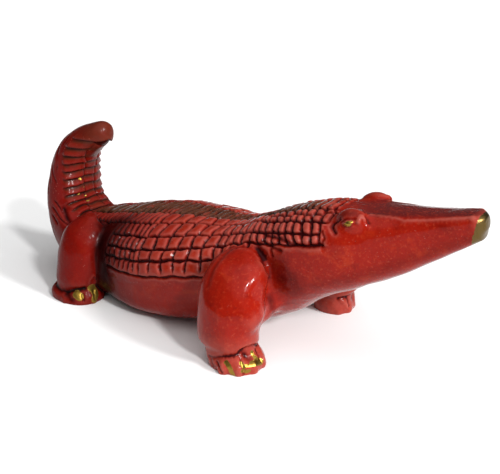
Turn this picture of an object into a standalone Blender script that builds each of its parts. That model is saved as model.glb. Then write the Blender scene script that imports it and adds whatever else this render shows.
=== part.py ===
# Crocodile figurine: one hollow-cast, red-glazed ceramic piece with gilded snout and toes.
# It stands on four feet, its head raised and turned a little to its left, its tail curled up.
# Metres, +Z up, head towards +X, the figure's left side towards +Y, soles on Z = 0.

import math

import bmesh
import bpy
import numpy as np
from mathutils import Matrix, Vector

LENGTH = 0.196          # rear of the tail's bend to the tip of the snout
DRAWN_LENGTH = 196.0    # the same length in the parts that the tables below are drawn in
PART = LENGTH / DRAWN_LENGTH

PLATE_RISE = 0.0008     # height of a raised scale plate over its groove
GROOVE_HALF = 0.0006    # half the width of the groove between two plates

MIDDLE_X = 4.65         # parts from the figure's middle to the zero of the tables
MIDDLE_Y = 0.45

# The body from the tip of the tail to the snout. Each row is a cross-section, in parts:
# x, y, z of its middle, yaw in degrees, half width, height above, depth below,
# squareness of the upper half, squareness of the lower half.
BODY = (
    (-72.4, 0.0, 63.2, 0, 1.2, 1.2, 1.2, 2.0, 2.0),
    (-74.0, 0.0, 62.6, 0, 4.2, 3.8, 3.8, 2.0, 2.0),
    (-79.8, 0.0, 60.0, 0, 6.7, 5.0, 5.0, 2.2, 2.0),
    (-89.5, 0.0, 52.5, 0, 9.6, 6.9, 6.8, 2.4, 2.0),
    (-94.0, 0.0, 40.0, 0, 12.0, 8.2, 7.5, 2.4, 2.0),
    (-92.5, 0.0, 27.0, 0, 13.8, 8.4, 11.0, 2.4, 2.0),
    (-83.0, 0.0, 17.2, 0, 17.2, 10.2, 15.7, 2.4, 2.3),
    (-67.0, 0.0, 16.5, 0, 21.5, 13.6, 15.1, 2.4, 4.4),
    (-50.0, 0.0, 17.5, 0, 26.4, 17.2, 16.5, 2.4, 5.0),
    (-34.0, 0.0, 18.5, 0, 28.4, 19.2, 17.6, 2.4, 4.8),
    (-16.0, 0.0, 21.5, 0, 27.0, 17.6, 19.8, 2.4, 3.3),
    (0.0, 0.0, 25.0, 0, 23.2, 16.0, 21.0, 2.4, 2.5),
    (15.0, 0.5, 30.0, 4, 20.2, 17.0, 20.4, 2.4, 2.3),
    (30.0, 2.0, 36.5, 8, 19.2, 17.2, 16.6, 2.5, 2.3),
    (45.0, 4.0, 43.0, 8, 16.8, 14.6, 15.8, 2.7, 2.3),
    (60.0, 6.5, 48.5, 8, 12.2, 11.0, 13.8, 3.0, 2.4),
    (75.0, 9.0, 54.0, 8, 8.2, 7.0, 10.1, 3.2, 2.5),
    (87.5, 11.0, 58.8, 8, 6.0, 4.2, 7.0, 3.2, 2.6),
    (91.0, 11.5, 60.2, 8, 5.2, 3.4, 5.8, 2.8, 2.6),
    (93.3, 11.8, 60.6, 8, 2.2, 1.7, 2.6, 2.4, 2.4),
)

# The carved lines that run along the body. Each row gives, for one section of BODY, the angle of
# the back's middle line and then the angles from it, down each flank, of lines 1 to 6, in degrees.
LINES = (
    (0.0, 4, 12, 56, 74, 90, 106, 120),
    (4.0, 4, 12, 62, 78, 92, 106, 120),
    (5.0, 4, 12, 56, 74, 90, 104, 118),
    (6.0, 3, 12, 32, 50, 66, 86, 102),
    (8.0, 2, 14, 32, 54, 78, 90, 102),
    (9.0, 4, 14, 31, 50, 70, 81, 96),
    (10.0, 6, 9, 22, 42, 61, 76, 95),
    (11.0, 7, 7, 18, 37, 54, 76, 96),
    (12.0, 5, 8, 21, 40, 56, 78, 96),
    (13.0, 2, 11, 33, 51, 67, 84, 100),
    (14.0, 0, 12, 40, 62, 78, 92, 108),
    (15.0, 0, 14, 40, 58, 76, 94, 110),
    (19.0, 0, 18, 42, 60, 76, 94, 112),
)
BELLY_STEPS = 3         # loft columns from the lowest line to the middle of the belly
BELLY_DRIFT = 0.5       # how much of the middle line's angle the belly's columns follow
SPINE_SAMPLES = 1901    # points that measure the length along the body
SPINE_REACH = 0.05      # sections either side that give the direction along the body

# Rows of scale plates from the tail to the brow, region by region: tail, hips, middle of the
# back, shoulders, neck, nape, and between the brows.
FIRST_ROW = 7.4         # parts along the body from the tip of the tail to the first row
ROW_COUNTS = (18, 7, 6, 4, 3, 4, 2)                             # rows in each region
ROW_PITCHES = (4.73, 2.90, 5.50, 3.85, 3.85, 5.00, 5.00)        # parts from row to row
FLANK_COLUMN_COUNTS = (1, 5, 5, 5, 3, 3, 1)     # columns of plates on each flank, in each region

TAIL_TIP_SECTIONS = (0.0, 0.4, 0.8, 1.2)
HEAD_SECTIONS = (15.0, 15.6, 16.2, 16.9, 17.5, 18.0, 18.5, 19.0)
GILT_FROM = 17.35       # section where the gilded tip of the snout begins

# The legs, from the sole upwards. Each row is a level cross-section, in parts:
# x, y, z of its middle, half size along the figure, half size across it.
FRONT_RIGHT = (
    (18.0, -31.3, -1.0, 9.9, 8.8),
    (18.0, -31.3, 2.4, 10.6, 9.3),
    (16.8, -31.2, 5.0, 10.4, 9.2),
    (15.4, -31.1, 7.2, 9.9, 8.8),
    (14.4, -31.0, 9.6, 11.2, 10.0),
    (14.4, -31.0, 15.0, 11.2, 10.4),
    (14.2, -29.4, 24.0, 12.1, 10.6),
    (14.4, -26.4, 32.0, 11.9, 9.6),
    (13.8, -22.6, 37.4, 9.2, 7.6),
    (12.8, -18.0, 40.4, 2.5, 2.5),
)
FRONT_LEFT = (
    (18.8, 30.2, -1.0, 7.2, 6.8),
    (18.8, 30.2, 2.4, 8.2, 7.7),
    (18.6, 30.5, 5.0, 8.2, 7.7),
    (18.4, 30.8, 7.2, 8.4, 7.8),
    (18.1, 31.0, 9.6, 10.0, 9.2),
    (17.0, 31.0, 16.0, 11.0, 10.0),
    (15.6, 29.2, 24.0, 12.0, 10.5),
    (14.8, 26.2, 32.0, 11.4, 9.5),
    (14.0, 22.4, 37.4, 9.0, 7.5),
    (13.2, 18.0, 40.4, 2.5, 2.5),
)
HIND_RIGHT = (
    (-69.3, -24.6, -1.0, 10.6, 8.9),
    (-69.3, -24.6, 2.2, 11.2, 9.4),
    (-69.1, -24.4, 4.6, 9.9, 8.6),
    (-68.9, -24.2, 6.4, 8.9, 8.0),
    (-68.7, -24.0, 8.8, 9.3, 8.5),
    (-68.3, -23.0, 14.0, 9.6, 8.6),
    (-68.0, -22.0, 22.0, 9.5, 8.1),
    (-67.6, -20.0, 29.0, 7.4, 6.5),
    (-67.0, -17.0, 33.5, 2.0, 2.0),
)
HIND_LEFT = (
    (-71.0, 24.2, -1.0, 10.4, 8.9),
    (-71.0, 24.2, 2.2, 11.0, 9.4),
    (-71.2, 24.0, 4.6, 10.0, 8.8),
    (-71.3, 23.8, 6.4, 9.1, 8.1),
    (-71.3, 23.5, 8.8, 9.6, 8.6),
    (-71.0, 22.6, 13.0, 9.7, 8.6),
    (-70.0, 20.8, 19.0, 9.3, 8.0),
    (-70.0, 18.0, 24.0, 7.2, 6.4),
    (-70.0, 15.0, 27.5, 2.0, 2.0),
)
LEG_SQUARENESS = 2.3
LEG_COLUMNS = 16
LEG_STEPS = 2           # loft rings between two rows of a leg's table

# Toes fan out round the front of each foot, which is taken as an ellipse on the ground.
TOE_COUNT = 4
TOE_HALF = (4.2, 2.9, 4.2)      # half length, half width, half height, in parts
TOE_LIFT = 1.5                  # height of a toe's middle over the ground
TOE_SIDE_COUNT = 10
TOE_LEVEL_COUNT = 6
FEET = {
    # foot: middle x, y; reach of the toes' middles along and across; first and last direction
    "front_right": (18.0, -31.3, 7.2, 6.55, -84, 24),
    "front_left": (18.8, 30.2, 4.5, 4.0, 74, -44),
    "hind_right": (-69.3, -24.6, 7.5, 5.7, -84, 24),
    "hind_left": (-71.0, 24.2, 7.3, 5.7, 84, -24),
}

# A brow bump over each eye: its section, the angle out from the middle, how deep its middle is
# sunk as a share of the section, its half sizes in parts, and how far it leans back in degrees.
BROW_SECTION = 14.42
BROW_ANGLE = 41
BROW_SHARE = 0.86
BROW_HALF = (7.0, 4.4, 5.6)
BROW_LEAN = 14
BROW_SIDE_COUNT = 14
BROW_LEVEL_COUNT = 8

# A web fills the hollow between each foreleg and the chest: middle, half sizes, heading and lean
# in degrees, in parts, for the right side; the left one mirrors it.
WEB_MIDDLE = (19.6, -20.2, 19.6)
WEB_HALF = (7.6, 5.2, 7.6)
WEB_HEADING = 52
WEB_LEAN = 10
WEB_SIDE_COUNT = 16
WEB_LEVEL_COUNT = 8

GROUND_DEPTH = 0.02     # thickness of the block that cuts the soles flat

GLAZE_COLOR = (0.36, 0.035, 0.018)
GLAZE_ROUGHNESS = 0.14
GILT_COLOR = (0.80, 0.56, 0.16)
GILT_ROUGHNESS = 0.22


def clear_scene():
    for old in list(bpy.data.objects):
        bpy.data.objects.remove(old, do_unlink=True)


def make_collection(name):
    made = bpy.data.collections.new(name)
    bpy.context.scene.collection.children.link(made)
    return made


def make_material(name, color, roughness, metallic):
    material = bpy.data.materials.new(name)
    material.use_nodes = True
    shader = material.node_tree.nodes["Principled BSDF"]
    shader.inputs["Base Color"].default_value = (*color, 1.0)
    shader.inputs["Roughness"].default_value = roughness
    shader.inputs["Metallic"].default_value = metallic
    return material


def smooth_row(table, t):
    # The table's values at a place t between its rows, on a smooth curve through all rows.
    last = len(table) - 1
    t = min(max(t, 0.0), last - 1e-9)
    step = int(t)
    f = t - step
    before, start, end, after = (
        np.array(table[min(max(step + k, 0), last)], dtype=float) for k in (-1, 0, 1, 2)
    )
    leave = (end - before) / 2
    arrive = (after - start) / 2
    return (
        (2 * f**3 - 3 * f**2 + 1) * start
        + (f**3 - 2 * f**2 + f) * leave
        + (-2 * f**3 + 3 * f**2) * end
        + (f**3 - f**2) * arrive
    )


def place(point):
    # From the tables' parts to metres, with the figure's middle over the origin.
    x, y, z = point
    return Vector(((x + MIDDLE_X) * PART, (y + MIDDLE_Y) * PART, z * PART))


def rounded(angle_sine, squareness):
    # One coordinate of a superellipse.
    return math.copysign(abs(angle_sine) ** (2.0 / squareness), angle_sine)


def body_frame(t):
    # A cross-section's table row with the directions to the figure's left and up.
    row = smooth_row(BODY, t)
    ahead = smooth_row(BODY, t + SPINE_REACH)[:3]
    behind = smooth_row(BODY, t - SPINE_REACH)[:3]
    along = Vector(ahead - behind).normalized()
    yaw = math.radians(row[3])
    left = Vector((-math.sin(yaw), math.cos(yaw), 0.0))
    up = along.cross(left).normalized()
    return row, left, up


def body_point(t, angle, share=1.0):
    # A point on section t, at an angle in degrees from the top, positive to the figure's left.
    row, left, up = body_frame(t)
    half_width, above, below, top_square, bottom_square = row[4:9]
    sine = math.sin(math.radians(angle))
    cosine = math.cos(math.radians(angle))
    squareness = top_square if cosine > 0 else bottom_square
    height = above if cosine > 0 else below
    side = half_width * rounded(sine, squareness) * share
    rise = height * rounded(cosine, squareness) * share
    return Vector(row[:3]) + left * side + up * rise


def line_angles(t):
    # The angles of a ring's vertices: the carved lines on both flanks, then the belly between.
    sections = [row[0] for row in LINES]
    middle, *spread = (np.interp(t, sections, [row[k] for row in LINES]) for k in range(1, 8))
    belly = [spread[-1] + (180 - spread[-1]) * k / BELLY_STEPS for k in range(1, BELLY_STEPS)]
    drift = middle * BELLY_DRIFT
    left = [middle + value for value in spread] + [drift + value for value in belly]
    right = [middle - value for value in spread] + [drift - value for value in belly]
    return left + [180.0] + right[::-1]


def row_sections():
    # Section numbers of the rings between the rows of plates, spaced along the body.
    fine = np.linspace(0.0, len(BODY) - 1, SPINE_SAMPLES)
    middles = np.array([smooth_row(BODY, t)[:3] for t in fine])
    steps = np.linalg.norm(np.diff(middles, axis=0), axis=1)
    travelled = np.concatenate([[0.0], np.cumsum(steps)])
    marks = [FIRST_ROW]
    columns = []
    for count, pitch, flank_columns in zip(ROW_COUNTS, ROW_PITCHES, FLANK_COLUMN_COUNTS):
        for _ in range(count):
            marks.append(marks[-1] + pitch)
            columns.append(flank_columns)
    return list(np.interp(marks, travelled, fine)), columns


def skin(mesh, rings):
    # Quads between neighbouring rings of equal count, closed by a face at both ends.
    loops = [[mesh.verts.new(place(point)) for point in ring] for ring in rings]
    count = len(loops[0])
    bands = []
    for low, high in zip(loops, loops[1:]):
        band = []
        for k in range(count):
            n = (k + 1) % count
            band.append(mesh.faces.new((low[k], low[n], high[n], high[k])))
        bands.append(band)
    start_cap = mesh.faces.new(loops[0][::-1])
    end_cap = mesh.faces.new(loops[-1])
    return bands, (start_cap, end_cap)


def raise_plates(mesh, bands, first_band, columns):
    # A band's last face spans the back's middle line; the flanks' faces follow on both its sides.
    plates = []
    for offset, flank_columns in enumerate(columns):
        band = bands[first_band + offset]
        for k in range(-flank_columns, flank_columns + 1):
            plates.append(band[(k - 1) % len(band)])
    bmesh.ops.inset_individual(
        mesh, faces=plates, thickness=GROOVE_HALF, depth=PLATE_RISE, use_even_offset=True
    )


def finish_mesh(mesh, name, collection, materials):
    bmesh.ops.triangulate(mesh, faces=mesh.faces)
    bmesh.ops.recalc_face_normals(mesh, faces=mesh.faces)
    data = bpy.data.meshes.new(name)
    mesh.to_mesh(data)
    mesh.free()
    for material in materials:
        data.materials.append(material)
    made = bpy.data.objects.new(name, data)
    collection.objects.link(made)
    return made


def build_body(collection, materials):
    rows, columns = row_sections()
    sections = list(TAIL_TIP_SECTIONS) + rows + list(HEAD_SECTIONS)
    mesh = bmesh.new()
    rings = [[body_point(t, angle) for angle in line_angles(t)] for t in sections]
    bands, caps = skin(mesh, rings)
    bmesh.ops.recalc_face_normals(mesh, faces=mesh.faces)
    caps[1].material_index = 1
    for band, t in zip(bands, sections):
        for face in band:
            face.material_index = 1 if t >= GILT_FROM else 0
    raise_plates(mesh, bands, len(TAIL_TIP_SECTIONS), columns)
    return finish_mesh(mesh, "crocodile", collection, materials)


def build_leg(name, table, collection, materials):
    mesh = bmesh.new()
    rings = []
    steps = (len(table) - 1) * LEG_STEPS
    for step in range(steps + 1):
        x, y, z, along, across = smooth_row(table, step / LEG_STEPS)
        ring = []
        for k in range(LEG_COLUMNS):
            turn = 2 * math.pi * k / LEG_COLUMNS
            ring.append((
                x + along * rounded(math.cos(turn), LEG_SQUARENESS),
                y + across * rounded(math.sin(turn), LEG_SQUARENESS),
                z,
            ))
        rings.append(ring)
    skin(mesh, rings)
    return finish_mesh(mesh, name, collection, materials)


def build_bump(name, middle, half, heading, lean, sides, levels, collection, materials):
    # An ellipsoid whose long axis points along heading and leans up by lean.
    mesh = bmesh.new()
    turn = Matrix.Rotation(heading, 4, "Z") @ Matrix.Rotation(-lean, 4, "Y")
    size = Matrix.Diagonal((half[0] * PART, half[1] * PART, half[2] * PART, 1.0))
    where = Matrix.Translation(place(middle))
    bmesh.ops.create_uvsphere(
        mesh, u_segments=sides, v_segments=levels, radius=1.0, matrix=where @ turn @ size
    )
    return finish_mesh(mesh, name, collection, materials)


def build_toes(name, foot, collection, materials):
    x, y, reach_x, reach_y, first, last = foot
    toes = []
    for k in range(TOE_COUNT):
        turn = math.radians(first + (last - first) * k / (TOE_COUNT - 1))
        middle = (x + reach_x * math.cos(turn), y + reach_y * math.sin(turn), TOE_LIFT)
        toe_name = f"{name}_toe_{k + 1}"
        toes.append(build_bump(
            toe_name, middle, TOE_HALF, turn, 0.0, TOE_SIDE_COUNT, TOE_LEVEL_COUNT, collection, materials
        ))
    return toes


def build_brows(collection, materials):
    heading = math.radians(smooth_row(BODY, BROW_SECTION)[3])
    brows = []
    for side, name in ((-1, "brow_right"), (1, "brow_left")):
        middle = body_point(BROW_SECTION, side * BROW_ANGLE, BROW_SHARE)
        brows.append(build_bump(
            name, middle, BROW_HALF, heading, math.radians(BROW_LEAN),
            BROW_SIDE_COUNT, BROW_LEVEL_COUNT, collection, materials
        ))
    return brows


def build_webs(collection, materials):
    x, y, z = WEB_MIDDLE
    webs = []
    for side, name in ((1, "web_right"), (-1, "web_left")):
        heading = math.radians(WEB_HEADING * side)
        webs.append(build_bump(
            name, (x, y * side, z), WEB_HALF, heading, math.radians(WEB_LEAN),
            WEB_SIDE_COUNT, WEB_LEVEL_COUNT, collection, materials
        ))
    return webs


def build_ground(collection):
    bpy.ops.mesh.primitive_cube_add(size=1.0)
    block = bpy.context.object
    block.name = "ground_block"
    block.data.transform(Matrix.Diagonal((2 * LENGTH, LENGTH, GROUND_DEPTH, 1.0)))
    block.data.transform(Matrix.Translation((0.0, 0.0, -GROUND_DEPTH / 2)))
    for owner in list(block.users_collection):
        owner.objects.unlink(block)
    collection.objects.link(block)
    return block


def add_boolean(target, tool, operation):
    modifier = target.modifiers.new(tool.name, "BOOLEAN")
    modifier.operation = operation
    modifier.solver = "EXACT"
    modifier.object = tool
    tool.hide_render = True
    tool.display_type = "WIRE"


def main():
    clear_scene()
    figure = make_collection("crocodile_figurine")
    tools = make_collection("cutters")
    glaze = make_material("red_glaze", GLAZE_COLOR, GLAZE_ROUGHNESS, 0.0)
    gilt = make_material("gilding", GILT_COLOR, GILT_ROUGHNESS, 1.0)
    body = build_body(figure, (glaze, gilt))
    legs = {
        "front_right": FRONT_RIGHT,
        "front_left": FRONT_LEFT,
        "hind_right": HIND_RIGHT,
        "hind_left": HIND_LEFT,
    }
    additions = build_brows(tools, (glaze,)) + build_webs(tools, (glaze,))
    for name, table in legs.items():
        additions.append(build_leg(f"{name}_leg", table, tools, (glaze,)))
        additions.extend(build_toes(name, FEET[name], tools, (gilt,)))
    for addition in additions:
        add_boolean(body, addition, "UNION")
    add_boolean(body, build_ground(tools), "DIFFERENCE")


main()
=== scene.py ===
# Red-glazed crocodile figurine with gilded snout, eyes and toes: its sculpted skin and its glaze.

import math
import random

import bmesh
import bpy
import numpy as np
from mathutils import Matrix, Vector, kdtree


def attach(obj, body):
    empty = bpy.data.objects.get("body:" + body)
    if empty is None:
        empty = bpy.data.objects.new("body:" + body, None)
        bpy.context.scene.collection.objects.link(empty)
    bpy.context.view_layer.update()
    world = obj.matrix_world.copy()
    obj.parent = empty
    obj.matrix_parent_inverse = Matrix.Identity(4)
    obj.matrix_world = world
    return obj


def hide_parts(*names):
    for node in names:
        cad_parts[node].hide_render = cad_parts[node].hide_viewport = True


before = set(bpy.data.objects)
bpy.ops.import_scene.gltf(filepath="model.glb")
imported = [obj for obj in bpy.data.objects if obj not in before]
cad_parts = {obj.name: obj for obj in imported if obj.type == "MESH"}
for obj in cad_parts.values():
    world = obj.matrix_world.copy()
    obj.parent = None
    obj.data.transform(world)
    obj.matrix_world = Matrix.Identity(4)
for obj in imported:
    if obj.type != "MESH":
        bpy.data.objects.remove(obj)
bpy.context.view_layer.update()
print("frame loaded")

mm = 0.001


# Body

body = {
    "shift": (4.65, 0.45, 0.0),  # mm from the tables' zero to the middle of the figure
    "columns": 128,
    "rings": 420,
    # one row a cross-section, from the tip of the tail to the snout, in mm and degrees:
    # x, y, z, yaw, half width, height above, depth below, squareness above, squareness below
    "sections": [
        (-72.4, 0.0, 63.2, 0, 1.2, 1.2, 1.2, 2.0, 2.0),
        (-74.0, 0.0, 62.6, 0, 4.2, 3.8, 3.8, 2.0, 2.0),
        (-79.8, 0.0, 60.0, 0, 6.7, 5.0, 5.0, 2.2, 2.0),
        (-89.5, 0.0, 52.5, 0, 9.6, 6.9, 6.8, 2.4, 2.0),
        (-94.0, 0.0, 40.0, 0, 12.0, 8.2, 7.5, 2.4, 2.0),
        (-92.5, 0.0, 27.0, 0, 13.8, 8.4, 11.0, 2.4, 2.0),
        (-83.0, 0.0, 17.2, 0, 17.2, 10.2, 15.7, 2.4, 2.3),
        (-67.0, 0.0, 16.5, 0, 21.5, 13.6, 15.1, 2.4, 4.4),
        (-50.0, 0.0, 17.5, 0, 26.4, 17.2, 16.5, 2.4, 5.0),
        (-34.0, 0.0, 18.5, 0, 28.4, 19.2, 17.6, 2.4, 4.8),
        (-16.0, 0.0, 21.5, 0, 27.0, 17.6, 19.8, 2.4, 3.3),
        (0.0, 0.0, 25.0, 0, 23.2, 16.0, 21.0, 2.4, 2.5),
        (15.0, 0.5, 30.0, 4, 20.2, 17.0, 20.4, 2.4, 2.3),
        (30.0, 2.0, 36.5, 8, 19.2, 17.2, 16.6, 2.5, 2.3),
        (45.0, 4.0, 43.0, 8, 16.8, 14.6, 15.8, 2.7, 2.3),
        (60.0, 6.5, 48.5, 8, 12.2, 11.0, 13.8, 3.0, 2.4),
        (75.0, 9.0, 54.0, 8, 8.2, 7.0, 10.1, 3.2, 2.5),
        (87.5, 11.0, 58.8, 8, 6.0, 4.2, 7.0, 3.2, 2.6),
        (91.0, 11.5, 60.2, 8, 5.2, 3.4, 5.8, 2.8, 2.6),
        (93.3, 11.8, 60.6, 8, 2.2, 1.7, 2.6, 2.4, 2.4),
    ],
}
lastSection = len(body["sections"]) - 1


def smoothRows(table, t):
    # rows of a table at many places t between its rows, on a smooth curve through them all
    rows = np.asarray(table, float)
    last = len(rows) - 1
    t = np.clip(np.asarray(t, float), 0, last - 1e-9)
    step = np.floor(t).astype(int)
    f = (t - step)[:, None]
    before, start, end, after = (rows[np.clip(step + k, 0, last)] for k in (-1, 0, 1, 2))
    leave, arrive = (end - before) / 2, (after - start) / 2
    return (
        (2 * f**3 - 3 * f**2 + 1) * start + (f**3 - 2 * f**2 + f) * leave
        + (3 * f**2 - 2 * f**3) * end + (f**3 - f**2) * arrive
    )


def unit(vectors):
    return vectors / np.maximum(np.linalg.norm(vectors, axis=1), 1e-12)[:, None]


def bodyFrames(t):
    # cross-sections at t: their table rows, middles, and directions ahead, left and up
    table = body["sections"]
    rows = smoothRows(table, t)
    ahead = unit(smoothRows(table, t + 0.05)[:, :3] - smoothRows(table, t - 0.05)[:, :3])
    yaw = np.radians(rows[:, 3])
    left = np.stack([-np.sin(yaw), np.cos(yaw), 0 * yaw], 1)
    up = unit(np.cross(ahead, left))
    return rows, rows[:, :3] + np.array(body["shift"]), ahead, left, up


def squared(value, power):
    return np.sign(value) * np.abs(value) ** power


def bodyPoints(t, angle, share=1.0):
    # points on the skin in mm: angle in degrees from the back's middle, positive to the left
    rows, middle, ahead, left, up = bodyFrames(t)
    sine, cosine = np.sin(np.radians(angle)), np.cos(np.radians(angle))
    power = 2 / np.where(cosine > 0, rows[:, 7], rows[:, 8])
    side = rows[:, 4] * squared(sine, power) * share
    rise = np.where(cosine > 0, rows[:, 5], rows[:, 6]) * squared(cosine, power) * share
    return middle + side[:, None] * left + rise[:, None] * up


def wrapBall(columns, rings, shape):
    # a sphere whose rings become cross-sections and whose poles become a piece's two ends:
    # shape gives the place in mm for a share of the length, a turn in radians and a share across
    bm = bmesh.new()
    made = bmesh.ops.create_uvsphere(bm, u_segments=columns, v_segments=rings, radius=1.0)
    ball = np.array([v.co for v in made["verts"]])
    along = 0.5 + np.arcsin(np.clip(ball[:, 2], -1, 1)) / math.pi
    across = np.where(np.abs(ball[:, 2]) > 0.9999999, 0.0, 1.0)
    spots = shape(along, np.arctan2(ball[:, 1], ball[:, 0]), across)
    for vert, spot in zip(made["verts"], spots):
        vert.co = spot * mm
    return bm


def wrapBody():
    return wrapBall(body["columns"], body["rings"], lambda along, turn, across: bodyPoints(
        lastSection * along, np.degrees(turn), across
    ))


def wave(points, size, seed):
    # smooth noise from -1 to 1 out of sine waves about `size` mm long, in fixed directions
    rng = np.random.default_rng(seed)
    total = np.zeros(len(points))
    for _ in range(7):
        direction = rng.normal(size=3)
        direction *= 2 * math.pi / (size * rng.uniform(0.7, 1.5) * np.linalg.norm(direction))
        total += np.sin(points @ direction + rng.uniform(0, 2 * math.pi))
    return np.clip(total / 3.6, -1, 1)


def ramp(value, low, high):
    # 0 below low, 1 above high, smooth between
    f = np.clip((value - low) / (high - low), 0, 1)
    return f * f * (3 - 2 * f)


def bell(value, width):
    # 1 at zero, fading on both sides over the width
    return np.exp(-((value / width) ** 2))


# Legs and toes

legs = {
    "columns": 56,
    "rings": 90,
    "squareness": 2.3,
    # one row a level cross-section from the sole up, in mm: x, y, z, half along, half across
    "frontRight": [
        (18.0, -31.3, -1.0, 9.9, 8.8),
        (18.0, -31.3, 2.4, 10.6, 9.3),
        (16.8, -31.2, 5.0, 10.4, 9.2),
        (15.4, -31.1, 7.2, 9.9, 8.8),
        (14.4, -31.0, 9.6, 11.2, 10.0),
        (14.4, -31.0, 15.0, 11.2, 10.4),
        (14.2, -29.4, 24.0, 12.1, 10.6),
        (14.4, -26.4, 32.0, 11.9, 9.6),
        (13.8, -22.6, 37.4, 9.2, 7.6),
        (12.8, -18.0, 40.4, 2.5, 2.5),
    ],
    "frontLeft": [
        (18.8, 30.2, -1.0, 7.2, 6.8),
        (18.8, 30.2, 2.4, 8.2, 7.7),
        (18.6, 30.5, 5.0, 8.2, 7.7),
        (18.4, 30.8, 7.2, 8.4, 7.8),
        (18.1, 31.0, 9.6, 10.0, 9.2),
        (17.0, 31.0, 16.0, 11.0, 10.0),
        (15.6, 29.2, 24.0, 12.0, 10.5),
        (14.8, 26.2, 32.0, 11.4, 9.5),
        (14.0, 22.4, 37.4, 9.0, 7.5),
        (13.2, 18.0, 40.4, 2.5, 2.5),
    ],
    "hindRight": [
        (-69.3, -24.6, -1.0, 10.6, 8.9),
        (-69.3, -24.6, 2.2, 11.2, 9.4),
        (-69.1, -24.4, 4.6, 9.9, 8.6),
        (-68.9, -24.2, 6.4, 8.9, 8.0),
        (-68.7, -24.0, 8.8, 9.3, 8.5),
        (-68.3, -23.0, 14.0, 9.6, 8.6),
        (-68.0, -22.0, 22.0, 9.5, 8.1),
        (-67.6, -20.0, 29.0, 7.4, 6.5),
        (-67.0, -17.0, 33.5, 2.0, 2.0),
    ],
    "hindLeft": [
        (-71.0, 24.2, -1.0, 10.4, 8.9),
        (-71.0, 24.2, 2.2, 11.0, 9.4),
        (-71.2, 24.0, 4.6, 10.0, 8.8),
        (-71.3, 23.8, 6.4, 9.1, 8.1),
        (-71.3, 23.5, 8.8, 9.6, 8.6),
        (-71.0, 22.6, 13.0, 9.7, 8.6),
        (-70.0, 20.8, 19.0, 9.3, 8.0),
        (-70.0, 18.0, 24.0, 7.2, 6.4),
        (-70.0, 15.0, 27.5, 2.0, 2.0),
    ],
}

toes = {
    "count": 4,
    "half": (4.2, 2.9, 4.2),
    "lift": 1.5,
    # foot: middle x, y; reach of the toes along and across; first and last direction
    "frontRight": (18.0, -31.3, 7.2, 6.55, -84, 24),
    "frontLeft": (18.8, 30.2, 4.5, 4.0, 74, -44),
    "hindRight": (-69.3, -24.6, 7.5, 5.7, -84, 24),
    "hindLeft": (-71.0, 24.2, 7.3, 5.7, 84, -24),
}

brows = {
    "section": 14.42,
    "angle": 41,
    "share": 0.86,
    "half": (7.0, 4.4, 5.6),
    "lean": 14,
}

webs = {
    # the hollow between each foreleg and the chest, for the right side
    "middle": (19.6, -20.2, 19.6),
    "half": (7.6, 5.2, 7.6),
    "heading": 52,
    "lean": 10,
}


def legPoints(table, step, turn, share=1.0):
    rows = smoothRows(table, step)
    power = 2 / legs["squareness"]
    along = rows[:, 3] * squared(np.cos(turn), power) * share
    across = rows[:, 4] * squared(np.sin(turn), power) * share
    flat = np.stack([along, across, 0 * along], 1)
    return rows[:, :3] + flat + np.array(body["shift"])


def wrapLeg(table):
    steps = len(table) - 1
    return wrapBall(legs["columns"], legs["rings"], lambda along, turn, across: legPoints(
        table, steps * along, turn, across
    ))


def makeLump(middle, half, heading, lean=0.0):
    # an ellipsoid whose long axis points along heading and leans up by lean, in mm and radians
    turn = Matrix.Rotation(heading, 4, "Z") @ Matrix.Rotation(-lean, 4, "Y")
    size = Matrix.Diagonal((*(h * mm for h in half), 1.0))
    where = Matrix.Translation(Vector(middle) * mm)
    bm = bmesh.new()
    bmesh.ops.create_uvsphere(
        bm, u_segments=36, v_segments=24, radius=1.0, matrix=where @ turn @ size
    )
    return bm


def makeToes(foot):
    x, y, reachX, reachY, first, last = toes[foot]
    made = []
    for k in range(toes["count"]):
        turn = math.radians(first + (last - first) * k / (toes["count"] - 1))
        spot = np.array([x + reachX * math.cos(turn), y + reachY * math.sin(turn), toes["lift"]])
        made.append(makeLump(spot + np.array(body["shift"]), toes["half"], turn))
    return made


def makeBrows():
    t = np.array([brows["section"]])
    heading = math.radians(bodyFrames(t)[0][0, 3])
    made = []
    for side in (-1, 1):
        spot = bodyPoints(t, np.array([side * brows["angle"]]), brows["share"])[0]
        made.append(makeLump(spot, brows["half"], heading, math.radians(brows["lean"])))
    return made


def makeWebs():
    x, y, z = webs["middle"]
    made = []
    for side in (1, -1):
        spot = np.array([x, y * side, z]) + np.array(body["shift"])
        turn = math.radians(webs["heading"] * side)
        made.append(makeLump(spot, webs["half"], turn, math.radians(webs["lean"])))
    return made


# One skin over all the parts

skin = {
    "voxel": 0.4,  # mm
    "smoothing": 6,  # rounds that take out the remesh's steps
    "softening": 120,  # rounds that fillet the hollows between the parts
    "hollow": (0.03, 0.10),  # mm of sag that count as no hollow, and as a full one
    "jawFrom": (44, 50),  # mm along the figure from which every hollow is softened in full
    "behindJaw": 0.12,  # share of the softening behind there
    "webReach": (8, 13),  # mm round each web softened in full, and not at all
    "webShift": 2,  # mm ahead of and outside each web's middle
    "soleCalm": 0.45,  # share of the softening left out close to the soles
    "triangles": 196000,
}


def readVectors(rows, name):
    flat = np.empty(len(rows) * 3, np.float32)
    rows.foreach_get(name, flat)
    return flat.reshape(-1, 3).astype(float)


def readPoints(mesh):
    return readVectors(mesh.vertices, "co") / mm


def writePoints(mesh, points):
    mesh.vertices.foreach_set("co", (points * mm).astype(np.float32).ravel())
    mesh.update()


def normalsOf(mesh):
    return readVectors(mesh.vertex_normals, "vector")


def neighbours(mesh):
    pairs = np.empty(len(mesh.edges) * 2, np.int32)
    mesh.edges.foreach_get("vertices", pairs)
    a, b = pairs.reshape(-1, 2).T
    return np.concatenate([a, b]), np.concatenate([b, a])


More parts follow.
